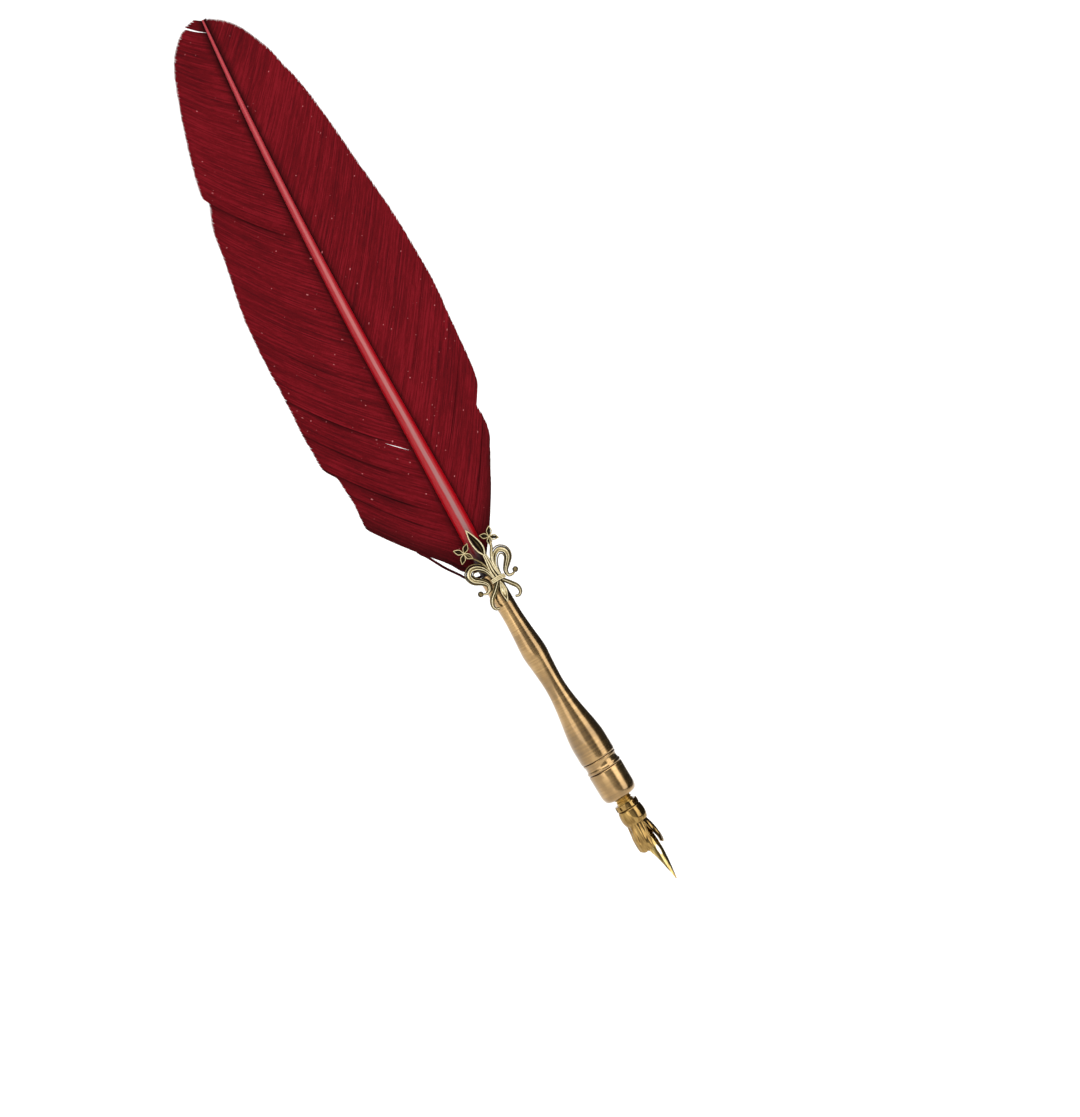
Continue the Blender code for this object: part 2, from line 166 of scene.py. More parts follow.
def castMaterial():
    # cast brass with black patina left in the hollows and rubbed bright on the high spots, with a
    # painted highlight on faces turned to the front and painted shade on their sides
    material, tree, shader = newMaterial("cast antique brass")
    # the mask read here holds the patina and wear and, on top, painted highlight and painted shade by which
    # way each face turns
    height = addNode(tree, "ShaderNodeAttribute", {"attribute_name": "patinaAndPaintedLight"})
    grain = addNode(tree, "ShaderNodeTexNoise", inputs={
        "Vector": alongPen(tree, (1.6, 1.6, 1.6)), "Scale": 1.0, "Detail": 5.0})
    patinaAndLight = addNode(tree, "ShaderNodeMath", {"operation": "MULTIPLY_ADD"}, {
        0: grain.outputs["Fac"], 1: 0.3, 2: height.outputs["Fac"]})
    tint = colorRamp(tree, patinaAndLight.outputs[0], [(0.2, "#1c160d"), (0.46, "#453923"), (0.78, "#a8966a"),
                                             (0.96, "#efe4c0")])
    tree.links.new(tint, shader.inputs["Base Color"])
    rough = addNode(tree, "ShaderNodeMapRange", inputs={
        "Value": patinaAndLight.outputs[0], "From Min": 0.3, "From Max": 1.0, "To Min": 0.65, "To Max": 0.24})
    tree.links.new(rough.outputs[0], shader.inputs["Roughness"])
    shader.inputs["Metallic"].default_value = 1.0
    bump = addNode(tree, "ShaderNodeBump", inputs={
        "Height": grain.outputs["Fac"], "Strength": 0.25, "Distance": 0.00015})
    tree.links.new(bump.outputs[0], shader.inputs["Normal"])
    return material


def brightMaterial(name, dark, light, low, high, grit):
    # polished plated metal with faint rolling marks: mirror-like with small tone changes
    material, tree, shader = newMaterial(name)
    marks = addNode(tree, "ShaderNodeTexNoise", inputs={
        "Vector": alongPen(tree, grit), "Scale": 1.0, "Detail": 4.0})
    tint = colorRamp(tree, marks.outputs["Fac"], [(0.35, dark), (0.65, light)])
    tree.links.new(tint, shader.inputs["Base Color"])
    rough = addNode(tree, "ShaderNodeMapRange", inputs={
        "Value": marks.outputs["Fac"], "From Min": 0.3, "From Max": 0.7, "To Min": low, "To Max": high})
    tree.links.new(rough.outputs[0], shader.inputs["Roughness"])
    shader.inputs["Metallic"].default_value = 1.0
    return material


def barbMaterial():
    # dyed feather barbs: deep matt crimson, each barb a little lighter or darker, with pale
    # flecks where the dye missed, and painted shade beside the shaft, under the creases and at the web's
    # foot
    material, tree, shader = newMaterial("dyed crimson barbs")
    tone = addNode(tree, "ShaderNodeAttribute", {"attribute_name": "barbTone"})
    shade = addNode(tree, "ShaderNodeAttribute", {"attribute_name": "rootShade"})
    barbMap = addNode(tree, "ShaderNodeUVMap", {"uv_map": "barbMap"})  # (out along barb, root) in mm
    streakWay = addNode(tree, "ShaderNodeMapping", inputs={
        "Vector": barbMap.outputs[0], "Scale": (0.1, 3.4, 1.0)})
    streaks = addNode(tree, "ShaderNodeTexNoise", {"noise_dimensions": "2D"}, {
        "Vector": streakWay.outputs[0], "Scale": 1.0, "Detail": 5.0, "Roughness": 0.7})
    cloudWay = addNode(tree, "ShaderNodeMapping", inputs={
        "Vector": barbMap.outputs[0], "Scale": (0.07, 0.05, 1.0)})
    cloud = addNode(tree, "ShaderNodeTexNoise", {"noise_dimensions": "2D"}, {
        "Vector": cloudWay.outputs[0], "Scale": 1.0, "Detail": 3.0})
    mixed = addNode(tree, "ShaderNodeMath", {"operation": "MULTIPLY_ADD"}, {
        0: tone.outputs["Fac"], 1: 0.3, 2: streaks.outputs["Fac"]})
    mixed = addNode(tree, "ShaderNodeMath", {"operation": "MULTIPLY_ADD"}, {
        0: cloud.outputs["Fac"], 1: 0.3, 2: mixed.outputs[0]})
    tint = colorRamp(tree, mixed.outputs[0], [(0.5, "#3f040a"), (0.8, "#5a070f"), (1.0, "#6d0e18")])
    # the painted shade beside the shaft, under the folds and at the web's foot darkens the dye here
    dark = addNode(tree, "ShaderNodeMix", {"data_type": "RGBA", "blend_type": "MULTIPLY"}, {
        "Factor": shade.outputs["Fac"], 6: tint, 7: hexColor("#382626")})
    speckWay = addNode(tree, "ShaderNodeMapping", inputs={
        "Vector": barbMap.outputs[0], "Scale": (0.55, 3.0, 1.0)})
    specks = addNode(tree, "ShaderNodeTexNoise", {"noise_dimensions": "2D"}, {
        "Vector": speckWay.outputs[0], "Scale": 1.0, "Detail": 2.0})
    flecks = colorRamp(tree, specks.outputs["Fac"], [(0.77, 0.0), (0.82, 0.8)])
    pale = addNode(tree, "ShaderNodeMix", {"data_type": "RGBA"}, {
        "Factor": flecks, 6: dark.outputs[2], 7: hexColor("#b86a6c")})
    tree.links.new(pale.outputs[2], shader.inputs["Base Color"])
    shader.inputs["Roughness"].default_value = 0.7
    shader.inputs["Specular IOR Level"].default_value = 0.05
    shader.inputs["Sheen Weight"].default_value = 0.03
    shader.inputs["Sheen Roughness"].default_value = 0.4
    shader.inputs["Sheen Tint"].default_value = hexColor("#c0303a")
    return material


def quillMaterial():
    # dyed keratin: glossy saturated red flanks, and a paler chalky groove down the middle that
    # turns from greyish pink at the foot to salmon near the tip; painted shade at the foot, where
    # the barrel holds it and under the lily ornament
    material, tree, shader = newMaterial("dyed quill")
    groove = addNode(tree, "ShaderNodeAttribute", {"attribute_name": "groove"})
    height = addNode(tree, "ShaderNodeAttribute", {"attribute_name": "height"})
    scratch = addNode(tree, "ShaderNodeTexNoise", inputs={
        "Vector": alongPen(tree, (3.0, 3.0, 0.12)), "Scale": 1.0, "Detail": 4.0})
    # the lowest stops of both ramps are painted shade under the lily, dark to about 104 mm and fading by
    # about 112 mm
    flank = colorRamp(tree, height.outputs["Fac"], [(0.03, "#1c0508"), (0.08, "#940410"), (0.5, "#920c18"),
                                                     (1.0, "#982c34")])
    core = colorRamp(tree, height.outputs["Fac"], [(0.03, "#2a1012"), (0.09, "#8c6463"), (0.5, "#a65f5e"),
                                                   (1.0, "#a53f44")])
    line = addNode(tree, "ShaderNodeMath", {"operation": "MULTIPLY_ADD", "use_clamp": True}, {
        0: scratch.outputs["Fac"], 1: 0.5, 2: groove.outputs["Fac"]})
    line = colorRamp(tree, line.outputs[0], [(0.45, 0.0), (0.85, 1.0)])
    mixed = addNode(tree, "ShaderNodeMix", {"data_type": "RGBA"}, {"Factor": line, 6: flank, 7: core})
    tree.links.new(mixed.outputs[2], shader.inputs["Base Color"])
    shader.inputs["Roughness"].default_value = 0.32
    shader.inputs["Specular IOR Level"].default_value = 0.25
    shader.inputs["Subsurface Weight"].default_value = 0.1
    shader.inputs["Subsurface Radius"].default_value = (0.001, 0.0003, 0.0003)
    return material


def plainMaterial(name, color, roughness, ior):
    # moulded plastic or set glue: one colour with a faint mottle in the gloss
    material, tree, shader = newMaterial(name)
    mottle = addNode(tree, "ShaderNodeTexNoise", inputs={
        "Vector": alongPen(tree, (1.2, 1.2, 1.2)), "Scale": 1.0, "Detail": 3.0})
    rough = addNode(tree, "ShaderNodeMapRange", inputs={
        "Value": mottle.outputs["Fac"], "To Min": roughness - 0.08, "To Max": roughness + 0.08})
    tree.links.new(rough.outputs[0], shader.inputs["Roughness"])
    shader.inputs["Base Color"].default_value = hexColor(color)
    shader.inputs["IOR"].default_value = ior
    return material


bronze = bronzeMaterial()
castBrass = castMaterial()
turnedBrass = brightMaterial("turned brass", "#8a6b38", "#c9a961", 0.22, 0.34, (0.3, 0.3, 6.0))
cupBronze = brightMaterial("bright antique bronze", "#6e5530", "#a0834e", 0.12, 0.19, (1.6, 1.6, 0.35))
nibMetal = brightMaterial("gold toned nib steel", "#8f7742", "#cdb679", 0.12, 0.22, (2.5, 2.5, 0.4))
barbDye = barbMaterial()
quillDye = quillMaterial()
pegPlastic = plainMaterial("black moulded plastic", "#0d0d0e", 0.4, 1.46)
clearGlue = plainMaterial("set glue", "#b9a67c", 0.3, 1.5)
print("materials made")


def seatPiece(obj, body, node, material, smooth=40):
    # move an upright piece in millimetres into the pen's pose and hand it to its body; faces
    # that meet at less than smooth degrees are shaded as one
    bpy.ops.object.select_all(action="DESELECT")
    obj.select_set(True)
    bpy.context.view_layer.objects.active = obj
    obj.matrix_world = penFrame @ obj.matrix_world
    bpy.ops.object.transform_apply(location=True, rotation=True, scale=True)
    obj.data.materials.clear()
    obj.data.materials.append(material)
    bpy.ops.object.shade_smooth_by_angle(angle=math.radians(smooth))
    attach(obj, body)
    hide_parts(node)
    bpy.ops.object.select_all(action="DESELECT")


def turnPiece(name, outline, sides=96):
    # lathe work by hand: a ring is extruded and scaled from one (radius, height) to the next
    radius, height = outline[0]
    bpy.ops.mesh.primitive_circle_add(vertices=sides, radius=radius, location=(0, 0, height))
    obj = bpy.context.object
    obj.name = name
    bpy.context.tool_settings.mesh_select_mode = (True, False, False)
    bpy.ops.object.mode_set(mode="EDIT")
    bpy.ops.mesh.select_all(action="SELECT")
    for nextRadius, nextHeight in outline[1:]:
        bpy.ops.mesh.extrude_region_move(TRANSFORM_OT_translate={"value": (0, 0, nextHeight - height)})
        scale = nextRadius / radius
        bpy.ops.transform.resize(value=(scale, scale, 1), center_override=(0, 0, nextHeight))
        radius, height = nextRadius, nextHeight
    bpy.ops.mesh.select_all(action="SELECT")
    bpy.ops.mesh.remove_doubles(threshold=0.0005)
    bpy.ops.mesh.normals_make_consistent(inside=False)
    bpy.ops.object.mode_set(mode="OBJECT")
    return obj


def wrapGrid(name, across, along, rule, closed=True):
    # a flat grid whose points a rule carries to their places: rule(share across, share along)
    bpy.ops.mesh.primitive_grid_add(x_subdivisions=across, y_subdivisions=along, size=1)
    obj = bpy.context.object
    obj.name = name
    for vertex in obj.data.vertices:
        vertex.co = rule(vertex.co.x + 0.5, vertex.co.y + 0.5)
    bpy.ops.object.mode_set(mode="EDIT")
    bpy.ops.mesh.select_all(action="SELECT")
    if closed:
        bpy.ops.mesh.remove_doubles(threshold=0.001)
    bpy.ops.mesh.normals_make_consistent(inside=False)
    bpy.ops.object.mode_set(mode="OBJECT")
    return obj


def applyModifier(obj, kind, **settings):
    bpy.context.view_layer.objects.active = obj
    modifier = obj.modifiers.new(kind.lower(), kind)
    for key, value in settings.items():
        setattr(modifier, key, value)
    bpy.ops.object.modifier_apply(modifier=modifier.name)


def around(radius, angle, height):
    return Vector((radius * math.sin(angle), -radius * math.cos(angle), height))


barrel = {"foot": 39.85, "mouth": 99.2, "bore": 2.35, "boreFoot": 86.0, "socket": 3.6, "socketTop": 50.0,
          "chamfer": 0.1, "footChamfer": 0.2, "turnings": 90,
          "lip": [(2.85, 0.0), (2.93, -0.1)],  # (radius, rise from the mouth)
          "heel": [(5.17, 0.3), (5.05, 0.08), (4.9, 0.0)],  # (radius, rise from the foot)
          "radii": [(39.85, 5.2), (43.4, 5.22), (46.2, 5.15), (50.3, 4.6), (53.0, 4.1), (58.5, 3.25),
                    (63.3, 2.9), (69.5, 3.23), (74.2, 3.6), (80.5, 3.1), (86.0, 2.78), (92.0, 2.85),
                    (99.2, 2.95)]}


def makeBarrel():
    b = barrel
    foot, mouth, bore, socket = b["foot"], b["mouth"], b["bore"], b["socket"]
    outline = [(bore, b["boreFoot"]), (bore, mouth - b["chamfer"]), (bore + b["chamfer"], mouth)]
    outline += [(radius, mouth + rise) for radius, rise in b["lip"]]
    outline += [(through(b["radii"], height), height)
                for height in np.linspace(mouth - 0.6, foot + 0.5, b["turnings"])]
    outline += [(radius, foot + rise) for radius, rise in b["heel"]]
    outline += [(socket + b["footChamfer"], foot), (socket, foot + b["footChamfer"]),
                (socket, b["socketTop"])]
    seatPiece(turnPiece("turned_barrel", outline), "handle", "barrel", bronze)


trimRing = {"foot": 36.5, "height": 3.25, "bore": 2.74,
            "cove": [(5.0, 0.0), (5.1, 0.08), (5.16, 0.3), (5.17, 0.55), (5.12, 0.78), (5.0, 0.92),
                     (4.9, 0.98), (4.84, 1.12), (4.8, 1.5), (4.8, 1.9), (4.85, 2.3), (4.95, 2.65),
                     (5.06, 2.9), (5.08, 3.05), (5.02, 3.18), (4.9, 3.25)]}  # (radius, rise)


def makeRing():
    r = trimRing
    outline = [(r["bore"], r["foot"])] + [(radius, r["foot"] + rise) for radius, rise in r["cove"]]
    outline += [(r["bore"], r["foot"] + r["height"]), (r["bore"], r["foot"])]
    seatPiece(turnPiece("coved_ring", outline), "ring", "trim_ring", bronze)


section = {"foot": 27.2, "top": 36.35, "radius": 5.16, "bore": 2.6, "boreDepth": 5.2, "footChamfer": 0.25,
           "footFace": 3.3, "shoulderFoot": 3.6, "shoulderRise": 2.9, "shoulderFullness": 1.3,
           "socket": 2.68, "socketDepth": 2.4,
           "brow": [(0.0, -0.35), (-0.06, -0.15), (-0.2, -0.03), (-0.35, 0.0)]}  # from radius and top


def makeSection():
    s = section
    foot, top, radius, inner = s["foot"], s["top"], s["radius"], s["shoulderFoot"]
    outline = [(s["bore"], foot + s["boreDepth"]), (s["bore"], foot + s["footChamfer"]),
               (s["bore"] + s["footChamfer"], foot), (s["footFace"], foot)]
    for angle in np.linspace(0, math.pi / 2, 13):  # the rounded shoulder
        rise = s["shoulderRise"] * (1 - math.cos(angle)) ** s["shoulderFullness"]
        outline.append((inner + (radius - inner) * math.sin(angle), foot + 0.1 + rise))
    outline += [(radius, foot + 4.5), (radius, foot + 6.5)]
    outline += [(radius + out, top + rise) for out, rise in s["brow"]]
    outline += [(s["socket"], top), (s["socket"], top - s["socketDepth"])]
    seatPiece(turnPiece("grip_section", outline), "grip", "section", bronze)


neck = {"foot": 22.2, "threadFoot": 25.3, "top": 31.8, "crest": 2.47, "depth": 0.36, "pitch": 0.75,
        "bore": 1.82, "lining": 0.06}


def makeNeck():
    n = neck

    def place(across, along):
        angle = math.tau * across
        if along < n["lining"] or along > 1 - n["lining"]:  # the grid's two ends line the bore
            return around(n["bore"], angle, n["foot"] if along < 0.5 else n["top"])
        height = n["foot"] + (n["top"] - n["foot"]) * (along - n["lining"]) / (1 - 2 * n["lining"])
        phase = (height / n["pitch"] - across) % 1
        cut = min(1, max(0, (height - n["threadFoot"]) / n["pitch"]))
        ridge = 0.5 - 0.5 * math.cos(math.tau * phase)
        return around(n["crest"] - n["depth"] * cut * ridge, angle, height)

    seatPiece(wrapGrid("threaded_neck", 64, 180, place), "nib_holder", "nib_neck", turnedBrass)


collar = {"foot": 23.6, "top": 25.35, "bore": 2.6, "rim": 3.43, "windows": 10, "frame": 0.14,
          "bevel": 0.04, "sink": 0.4,
          "edge": [(0.2, 0.0), (0.04, 0.1), (0.0, 0.3)]}  # (in from the rim, in from the end)


def makeCollar():
    c = collar
    middle = (c["foot"] + c["top"]) / 2
    outline = [(c["bore"], c["foot"])] + [(c["rim"] - out, c["foot"] + rise) for out, rise in c["edge"]]
    outline += [(c["rim"] - out, c["top"] - fall) for out, fall in reversed(c["edge"])]
    outline += [(c["bore"], c["top"]), (c["bore"], c["foot"])]
    obj = turnPiece("windowed_collar", outline, sides=c["windows"] * 4)
    bpy.context.tool_settings.mesh_select_mode = (False, False, True)
    for window in range(c["windows"]):
        turn = math.tau * (window + 0.5) / c["windows"]
        bpy.ops.object.mode_set(mode="EDIT")
        bpy.ops.mesh.select_all(action="DESELECT")
        bpy.ops.object.mode_set(mode="OBJECT")
        for face in obj.data.polygons:
            out = math.hypot(face.center.x, face.center.y)
            angle = math.atan2(face.center.y, face.center.x) % math.tau
            near = abs(angle - turn) < math.tau / c["windows"] * 0.3
            face.select = near and out > c["rim"] - 0.03 and abs(face.center.z + c["foot"] - middle) < 0.2
        bpy.ops.object.mode_set(mode="EDIT")
        bpy.ops.mesh.inset(thickness=c["frame"], depth=0)
        bpy.ops.mesh.inset(thickness=c["bevel"], depth=-c["sink"])
        bpy.ops.object.mode_set(mode="OBJECT")
    seatPiece(obj, "collar", "nib_collar", cupBronze, smooth=25)


dome = {"foot": 18.9, "top": 23.5, "bore": 2.55, "boreDepth": 1.3, "chamfer": 0.15, "mouth": 3.0,
        "mouthDepth": 1.3, "turnings": 30,
        "profile": [(19.0, 3.28), (19.4, 3.42), (20.3, 3.66), (21.5, 3.71), (22.8, 3.55),
                    (23.3, 3.42), (23.5, 3.2)]}


def makeDome():
    d = dome
    foot, top = d["foot"], d["top"]
    outline = [(d["bore"], top - d["boreDepth"]), (d["bore"], top - d["chamfer"]),
               (d["bore"] + d["chamfer"], top), (3.0, top)]
    outline += [(through(d["profile"], height), height)
                for height in np.linspace(top - 0.02, foot + 0.12, d["turnings"])]
    outline += [(3.2, foot), (d["mouth"] + 0.02, foot), (d["mouth"], foot + d["mouthDepth"])]
    seatPiece(turnPiece("bell_dome", outline), "nib_holder", "nib_dome", cupBronze)


cup = {"top": 20.1, "petals": 3, "turn": math.radians(30), "gap": math.radians(21), "wall": 0.3,
       "edge": 0.06, "gapFoot": 11.2, "gapRise": 6.1, "tip": 10.75, "tipRound": 0.5,
       "teeth": [(0.16, 31, 0), (0.1, 53, 1)], "folds": 9, "foldDepth": 0.22,
       "dents": 23, "dentDepth": 0.07,
       "flare": [(10.4, 3.45), (11.6, 3.75), (13.0, 3.85), (15.0, 3.55), (17.0, 3.15), (18.4, 2.85),
                 (20.1, 2.8)]}


def makeCup():
    c = cup
    sector = math.tau / c["petals"]

    def rim(angle):  # petals with torn, toothed ends, parted by pointed gaps
        offset = (angle - c["turn"] + sector / 2) % sector - sector / 2
        if abs(offset) < c["gap"]:
            return c["gapFoot"] + c["gapRise"] * (1 - abs(offset) / c["gap"]) ** 0.8
        teeth = sum(size * math.sin(offset * beat + shift) for size, beat, shift in c["teeth"])
        fromMiddle = (sector / 2 - abs(offset)) / (sector / 2 - c["gap"])
        return c["tip"] + teeth + c["tipRound"] * fromMiddle ** 2

    def place(across, along):
        angle = c["turn"] + math.tau * across
        height = c["top"] + (rim(angle) - c["top"]) * along ** 0.85
        fold = math.cos(across * math.tau * c["folds"]) * math.sin(math.pi * min(1, along * 1.1))
        dent = math.sin(across * math.tau * c["dents"] + along * 9) * along
        bulge = c["foldDepth"] * fold + c["dentDepth"] * dent
        return around(through(c["flare"], height) + bulge, angle, height)

    obj = wrapGrid("petal_cup", 144, 40, place)
    applyModifier(obj, "SOLIDIFY", thickness=c["wall"], offset=0)
    applyModifier(obj, "BEVEL", width=c["edge"], segments=2, limit_method="ANGLE", angle_limit=0.9)
    seatPiece(obj, "nib_holder", "nib_cup", cupBronze)


nib = {"turn": math.radians(30), "top": 30.0, "plate": 0.18, "ventHeight": 9.4, "ventRadius": 0.5,
       "ventStretch": 3.2, "slit": 0.07, "edge": 0.03, "cutDepth": 3,
       "halfWidth": [(0, 0.12), (2.2, 0.5), (4.9, 1.05), (7.7, 1.6), (9.6, 2.2), (11.5, 2.7), (15.0, 2.6),
                     (19.0, 2.3), (30.0, 2.3)],
       "radius": [(0, 2.45), (8.0, 2.4), (13.0, 2.25), (16.5, 1.95), (19.3, 1.66), (30.0, 1.66)]}


def makeNib():
    n = nib

    def place(across, along):
        height = n["top"] * along ** 1.4
        radius = through(n["radius"], height)
        spread = through(n["halfWidth"], height) / radius
        return around(radius, n["turn"] + spread * (2 * across - 1), height)

    obj = wrapGrid("dip_nib", 40, 110, place, closed=False)
    applyModifier(obj, "SOLIDIFY", thickness=n["plate"], offset=0)
    centre = around(2.4, n["turn"], 0)
    bpy.ops.mesh.primitive_cylinder_add(vertices=32, radius=n["ventRadius"], depth=n["cutDepth"],
                                        location=centre + Vector((0, 0, n["ventHeight"])),
                                        rotation=(math.pi / 2, 0, n["turn"]),
                                        scale=(1, n["ventStretch"], 1))
    vent = bpy.context.object
    bpy.ops.mesh.primitive_cube_add(size=1, location=centre + Vector((0, 0, (n["ventHeight"] - 1) / 2)),
                                    rotation=(0, 0, n["turn"]),
                                    scale=(n["slit"], n["cutDepth"], n["ventHeight"] + 1))
    slit = bpy.context.object
    for cutter in (vent, slit):
        applyModifier(obj, "BOOLEAN", operation="DIFFERENCE", solver="EXACT", object=cutter)
        bpy.data.objects.remove(cutter)
    applyModifier(obj, "BEVEL", width=n["edge"], segments=2, limit_method="ANGLE", angle_limit=0.9)
    seatPiece(obj, "nib", "nib", nibMetal)


makeBarrel()
makeRing()
makeSection()
makeNeck()
makeCollar()
makeDome()
makeCup()
makeNib()
for node, material in (("barrel_insert", turnedBrass), ("section_stud", turnedBrass),
                       ("nib_peg", pegPlastic), ("quill_glue", clearGlue)):
    obj = frame["nodes"][node]
    obj.data.materials.clear()
    obj.data.materials.append(material)
print("metal pieces made")

shaft = {"foot": 84.3, "tip": 269.6, "grooveTurn": 0.12, "grooveWidth": 0.55, "grooveDepth": 0.16,
         "grooveFoot": 103, "flatness": 0.08, "paleFade": 2.2, "barrelTop": 99, "colourRampLength": 160,
         "line": [(84, 0), (97, 0), (113, 1.2), (140, 2.35), (178, 3.9), (216, 6.5), (244, 9.0),
                  (269.6, 11.8)],
         "radii": [(84, 2.0), (98, 2.0), (108, 2.3), (120, 2.3), (150, 1.87), (182, 1.6), (210, 1.15),
                   (233, 0.9), (253, 0.6), (265, 0.4), (269.6, 0.25)]}


def storeAttribute(obj, name, values):
    attribute = obj.data.attributes.new(name, "FLOAT", "POINT")
    attribute.data.foreach_set("value", np.array(values, np.float32))


def makeShaft():
    s = shaft

    def place(across, along):
        angle = math.tau * across  # 0 faces the front
        height = s["foot"] + (s["tip"] - s["foot"]) * along
        radius = through(s["radii"], height)
        facing = math.cos(angle)
        turn = abs((angle - s["grooveTurn"] + math.pi) % math.tau - math.pi)
        groove = max(0, 1 - turn / s["grooveWidth"])
        opening = min(1, max(0, (height - s["grooveFoot"]) / 12))
        depth = s["grooveDepth"] * groove * groove * (3 - 2 * groove) * opening
        if along in (0, 1):
            radius = 0
        point = around(radius * (1 - depth), angle, height)
        return point + Vector((through(s["line"], height), -s["flatness"] * radius * facing, 0))

    obj = wrapGrid("grooved_shaft", 32, 220, place)
    grooves, heights = [], []
    for vertex in obj.data.vertices:
        height = vertex.co.z
        side = (vertex.co.x - through(s["line"], height)) / through(s["radii"], height) - s["grooveTurn"]
        grooves.append(max(0, 1 - abs(side) * s["paleFade"]) if vertex.co.y < 0 else 0)
        heights.append((height - s["barrelTop"]) / s["colourRampLength"])
    storeAttribute(obj, "groove", grooves)
    storeAttribute(obj, "height", heights)
    seatPiece(obj, "handle", "feather_shaft", quillDye)


# Both webs: the barbs' spacing on the shaft, closer at the foot, their make, and how the web
# cups (camber), waves, folds and shades. Lengths in mm; seat and sink are shares of the
# shaft's radius.
vane = {"spacing": 0.43, "footSpacing": 0.28, "footTop": 108, "lastRoot": 269.4, "width": 0.44,
        "halfThick": 0.05, "tilt": 0.035, "stations": 15, "taper": 0.6, "seat": 0.72, "sink": 0.25,
        "fray": 0.12, "camber": 2.2, "halfWeb": 26, "wave": 0.35, "waveLength": (8.5, 9),
        "slitReach": 1.2, "droopRoots": 5, "droopPlace": 5.2, "droopHalf": 2.2,
        "footShade": 0.7, "footShadeRoots": 9, "foldShade": 1.1, "rootShade": 2.6}
# Each web: its outer edge as (height, reach from the shaft's middle), how its barbs lie against
# the shaft in degrees, its creases as (root height, opening at the edge, lift, breadth) and its
# short slits as (root height, distance out, half length, opening). Lengths in mm.
leftVane = {"first": 101.0, "bend": 15, "droop": 1.7,
            "edge": [(112, 10.3), (116, 13.8), (120, 18.0), (124, 21.7), (128.3, 23.9), (132, 24.0),
                     (135, 23.7), (141, 24.0), (145.8, 24.6), (149, 26.6), (155, 26.7), (160, 26.8),
                     (170.5, 26.3), (180, 26.4), (188, 26.2), (196, 25.7), (210.6, 23.4), (220, 22.3),
                     (225.2, 20.5), (226.4, 20.1), (229.2, 21.0), (233.6, 20.5), (243, 18.5),
                     (253.7, 15.7), (262, 13.0), (266, 10.7), (269.6, 7.0), (270.7, 3.8),
                     (271.1, 1.3)],
            "lay": [(119, 41.5), (150, 40), (230, 40), (262, 46), (271, 52)],
            "creases": [(139.5, -0.8, 1.3, 3.0), (129.0, -0.9, 1.2, 2.5), (118.5, -0.9, 1.3, 2.5),
                        (203.5, -0.8, 1.4, 3.0), (112.0, -0.5, 0.9, 2.5), (158.0, -0.3, 0.5, 3.0)],
            "slits": [(138.5, 5.5, 2.6, 0.5), (266.0, 4.5, 3.0, 0.7)]}
rightVane = {"first": 103.7, "bend": 7, "droop": 0,
             "edge": [(122.5, 12.0), (128, 15.0), (133, 17.6), (135.7, 18.9), (139.8, 19.4),
                      (143.6, 19.3), (145.2, 19.9), (146.6, 21.6), (150, 22.9), (157, 23.8),
                      (166.3, 24.5), (176.7, 25.3), (183.7, 25.2), (193.6, 24.7), (204.4, 23.6),
                      (215.7, 21.9), (226.4, 20.4), (234.4, 19.0), (243.3, 17.0), (248.6, 15.2),
                      (254, 13.5), (258.9, 11.2), (262.8, 9.0), (266.1, 6.3), (268.7, 2.9),
                      (269.6, 1.2)],
             "lay": [(111, 30.5), (133, 34), (157, 36), (220, 38), (250, 42), (271, 50)],
             "creases": [(112.5, -0.5, 1.0, 3.0), (128.5, -0.3, 0.6, 3.0), (150.0, -0.3, 0.5, 3.0)],
             "slits": []}
strayBarb = {"half": 0.36, "tone": 0.2,  # sprung loose below the left web: (right, height, depth)
             "path": [(-1.2, 99.6, -0.3), (-3.6, 100.0, -0.6), (-5.4, 101.2, -0.8),
                      (-6.9, 103.6, -0.9), (-8.6, 106.1, -0.9), (-9.7, 108.0, -0.8),
                      (-10.7, 110.0, -0.7), (-11.9, 112.3, -0.5), (-13.6, 114.6, -0.4)]}


def barbTip(root, web):
    # height at which a barb from this root meets the web's outer edge, by halving
    low, high = root, web["edge"][-1][0]
    for _ in range(30):
        tip = (low + high) / 2
        reach = through(web["edge"], tip)
        if tip - reach / math.tan(math.radians(through(web["lay"], tip))) < root:
            low = tip
        else:
            high = tip
    return tip


def barbPath(root, side, web, noise):
    # points of one barb: out from the shaft, curving towards the feather's tip
    v = vane
    tip = barbTip(root, web)
    reach = through(web["edge"], tip) + noise * v["fray"]
    lay = through(web["lay"], tip)
    radius = through(shaft["radii"], root)
    start = radius * v["seat"]
    height, last, points = root, 0, []
    stretch = (tip - root) / (reach / math.tan(math.radians(lay)))
    shares = list(np.linspace(0, 1 - v["taper"] / reach, v["stations"])) + [1]
    for share in shares:
        across = start + (reach - start) * share
        angle = math.radians(lay + web["bend"] * (0.5 - (share + last) / 2))
        height += (reach - start) * (share - last) / math.tan(angle) * stretch
        last = share
        rise, lift = height, 0
        for place, opening, push, breadth in web["creases"]:
            away = root - place
            pull = math.exp(-abs(away) / breadth) * (1 if away > 0 else -1)
            rise += opening * pull * 0.5 * share ** 2
            lift += push * max(0, pull) * math.sin(math.pi * min(1, 0.1 + share * 0.8))
        for place, out, half, opening in web["slits"]:
            away = root - place
            pull = math.exp(-abs(away) / v["slitReach"]) * (1 if away > 0 else -1)
            rise += opening * pull * 0.5 * math.exp(-((across - out) / half) ** 2)
        low = max(0, 1 - (root - web["first"]) / v["droopRoots"])
        rise -= web["droop"] * low * math.exp(-((across - v["droopPlace"]) / v["droopHalf"]) ** 2)
        wave = v["wave"] * share * math.sin(root / v["waveLength"][0] + across / v["waveLength"][1] + side)
        cupping = v["camber"] * (across / v["halfWeb"]) ** 2
        depth = v["sink"] * radius - cupping - lift * 0.5 + wave
        points.append(Vector((through(shaft["line"], rise) + side * across, depth, rise)))
    return points


